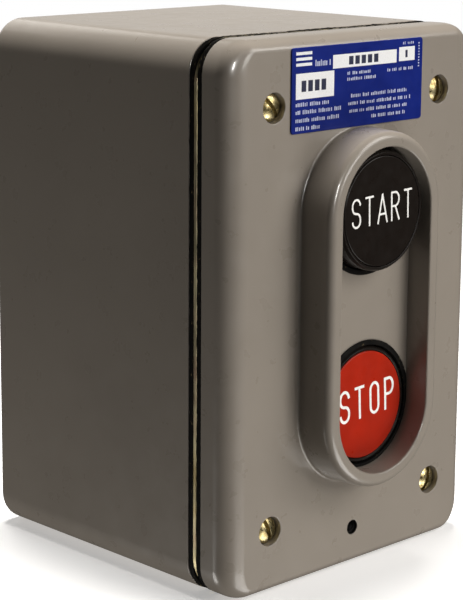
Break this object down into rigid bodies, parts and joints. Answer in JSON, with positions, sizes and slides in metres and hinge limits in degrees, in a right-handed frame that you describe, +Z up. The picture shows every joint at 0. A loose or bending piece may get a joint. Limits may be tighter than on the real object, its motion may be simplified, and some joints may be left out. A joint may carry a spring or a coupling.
{
  "type": "push button station",
  "caption": "Wall-mounted START and STOP push button station in a gasketed die-cast enclosure, with a guard ring round its two interlocked buttons.",
  "frame": {"origin": "centre of the back mounting face", "axes": "+Y out of the back face into the wall, +Z up, and the front with its buttons faces -Y"},
  "size_m": [0.0872, 0.0965, 0.1334],
  "materials": {
    "grey_enamel": "warm grey gloss baked enamel on die-cast zinc",
    "seal_rubber": "black moulded synthetic rubber",
    "gilt_steel": "yellow-chromated sheet steel",
    "screw_brass": "bright gilt screw metal",
    "plain_steel": "zinc-plated steel",
    "black_plastic": "black moulded plastic",
    "red_plastic": "red moulded plastic",
    "blue_foil": "blue printed polyester label",
    "phenolic": "dark brown phenolic moulding",
    "nylon": "natural nylon",
    "contact_silver": "silver contact metal",
    "ground_green": "green-dyed screw"
  },
  "bodies": {
    "enclosure": {"enclosure_body": "grey_enamel", "rear_gasket": "seal_rubber", "mounting_frame": "gilt_steel", "front_gasket": "seal_rubber", "ground_screw": "ground_green", "contact_block": "phenolic", "contact_block_cover": "phenolic", "block_screw_upper": "plain_steel", "block_screw_lower": "plain_steel", "block_cover_screw_upper": "plain_steel", "block_cover_screw_lower": "plain_steel", "terminal_start_left": "screw_brass", "terminal_start_right": "screw_brass", "terminal_stop_left": "screw_brass", "terminal_stop_right": "screw_brass", "terminal_screw_start_left": "plain_steel", "terminal_screw_start_right": "plain_steel", "terminal_screw_stop_left": "plain_steel", "terminal_screw_stop_right": "plain_steel", "rocker_pin": "plain_steel", "detent_leaf": "plain_steel"},
    "cover": {"cover": "grey_enamel", "nameplate": "blue_foil", "cover_screw_upper_left": "screw_brass", "cover_screw_upper_right": "screw_brass", "cover_screw_lower_left": "screw_brass", "cover_screw_lower_right": "screw_brass", "screw_seal_upper_left": "seal_rubber", "screw_seal_upper_right": "seal_rubber", "screw_seal_lower_left": "seal_rubber", "screw_seal_lower_right": "seal_rubber", "start_seal": "seal_rubber", "stop_seal": "seal_rubber", "seal_retainer": "plain_steel", "retainer_screw_right": "plain_steel", "retainer_screw_left": "plain_steel"},
    "start_button": {"start_cap": "black_plastic", "start_disc": "black_plastic", "start_stem": "nylon"},
    "stop_button": {"stop_cap": "black_plastic", "stop_disc": "red_plastic", "stop_stem": "nylon"},
    "start_carrier": {"start_carrier": "nylon", "start_bridge": "contact_silver", "start_contact_spring": "plain_steel"},
    "stop_carrier": {"stop_carrier": "nylon", "stop_bridge": "contact_silver", "stop_contact_spring": "plain_steel"},
    "rocker": {"rocker": "plain_steel"}
  },
  "joints": [
    {"name": "cover_lift", "type": "slide", "parent": "enclosure", "child": "cover", "axis": [0, -1, 0], "range_m": [0, 0.06]},
    {"name": "start_press", "type": "slide", "parent": "cover", "child": "start_button", "axis": [0, 1, 0], "range_m": [0, 0.0047]},
    {"name": "stop_release", "type": "slide", "parent": "cover", "child": "stop_button", "axis": [0, -1, 0], "range_m": [0, 0.0047]},
    {"name": "start_carrier_slide", "type": "slide", "parent": "enclosure", "child": "start_carrier", "axis": [0, 1, 0], "range_m": [0, 0.0047]},
    {"name": "stop_carrier_slide", "type": "slide", "parent": "enclosure", "child": "stop_carrier", "axis": [0, -1, 0], "range_m": [0, 0.0047]},
    {"name": "rocker_tilt", "type": "hinge", "parent": "enclosure", "child": "rocker", "pos_m": [0, -0.056, 0], "axis": [-1, 0, 0], "range_deg": [0, 18.03]}
  ],
  "couplings": [
    {"joint": "stop_release", "follows": "start_press", "ratio": 1},
    {"joint": "start_carrier_slide", "follows": "start_press", "ratio": 1},
    {"joint": "stop_carrier_slide", "follows": "start_press", "ratio": 1},
    {"joint": "rocker_tilt", "follows": "start_press", "rad_per_m": 66.941}
  ]
}
